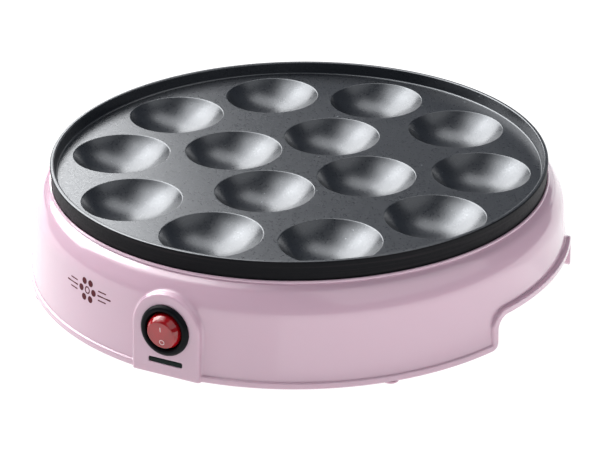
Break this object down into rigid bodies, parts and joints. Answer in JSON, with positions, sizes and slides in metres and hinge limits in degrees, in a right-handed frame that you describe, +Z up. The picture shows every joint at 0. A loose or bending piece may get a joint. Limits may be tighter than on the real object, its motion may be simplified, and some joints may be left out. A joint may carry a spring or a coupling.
{
  "type": "electric mini pancake maker",
  "caption": "Round electric mini pancake maker: cast plate with dished pits in a moulded housing with side grips and an arched rocker switch panel.",
  "frame": {"origin": "on the standing plane, under the centre of the round housing", "axes": "+Z up; the switch panel faces -Y and the supply lead enters at +Y"},
  "size_m": [0.2525, 0.2604, 0.0554],
  "materials": {
    "housing_plastic": "pale pink glossy moulded polypropylene",
    "foot_vinyl": "colour-matched soft vinyl",
    "coated_plate": "cast aluminium under a dark satin non-stick coating with fine flecks",
    "tray_steel": "aluminised sheet steel",
    "element_sheath": "annealed stainless sheath",
    "ceramic": "steatite bead",
    "nickel": "nickel-plated strip",
    "screw_steel": "zinc-plated steel",
    "bare_aluminium": "bare aluminium",
    "black_plastic": "satin black moulded plastic",
    "glass_sleeve": "woven glass-fibre sleeving",
    "brass": "tinned brass",
    "spring_steel": "spring wire",
    "red_lens": "translucent red plastic",
    "lamp_glass": "clear glass neon lamp",
    "green_lens": "dark green translucent plastic",
    "block_plastic": "natural nylon",
    "brown_wire": "silicone rubber insulation",
    "blue_wire": "silicone rubber insulation",
    "green_wire": "silicone rubber insulation"
  },
  "bodies": {
    "root": {"baking_plate": "coated_plate", "base_cover": "housing_plastic", "base_screws": "screw_steel", "clamp_screws": "screw_steel", "clip_rivets": "bare_aluminium", "earth_nut": "screw_steel", "earth_screw": "screw_steel", "earth_tag": "nickel", "element_clamps": "tray_steel", "element_insulators": "ceramic", "element_pins": "nickel", "feet": "foot_vinyl", "fuse_clip": "tray_steel", "fuse_ferrules": "brass", "fuse_sleeve": "glass_sleeve", "heat_shield": "tray_steel", "heating_element": "element_sheath", "housing": "housing_plastic", "indicator_lamp": "lamp_glass", "indicator_lens": "green_lens", "lamp_holder": "black_plastic", "lamp_lead_live": "brown_wire", "lamp_lead_neutral": "blue_wire", "lead_bushing": "black_plastic", "plate_screws": "screw_steel", "switch_body": "black_plastic", "switch_lamp": "lamp_glass", "switch_terminals": "brass", "terminal_block": "block_plastic", "terminal_inserts": "brass", "terminal_screws": "screw_steel", "thermal_fuse": "nickel", "thermostat_body": "black_plastic", "thermostat_cap": "bare_aluminium", "thermostat_screws": "screw_steel", "thermostat_terminals": "nickel", "wire_connectors": "brass", "wire_earth": "green_wire", "wire_fuse_heater": "brown_wire", "wire_heater_neutral": "blue_wire", "wire_lamp_neutral": "blue_wire", "wire_live": "brown_wire", "wire_switched": "brown_wire", "wire_thermostat_fuse": "brown_wire"},
    "rocker": {"switch_rocker": "red_lens", "rocker_plunger": "brass", "rocker_spring": "spring_steel"},
    "contact_arm": {"switch_contact_arm": "brass"}
  },
  "joints": [
    {"name": "rocker_hinge", "type": "hinge", "parent": "root", "child": "rocker", "pos_m": [0, -0.1242, 0.0228], "axis": [-1, 0, 0], "range_deg": [0, 24]},
    {"name": "contact_hinge", "type": "hinge", "parent": "root", "child": "contact_arm", "pos_m": [0, -0.11697, 0.02229], "axis": [-1, 0, 0], "range_deg": [-16, 0]}
  ],
  "couplings": [
    {"joint": "contact_hinge", "follows": "rocker_hinge", "ratio": -0.66667}
  ]
}
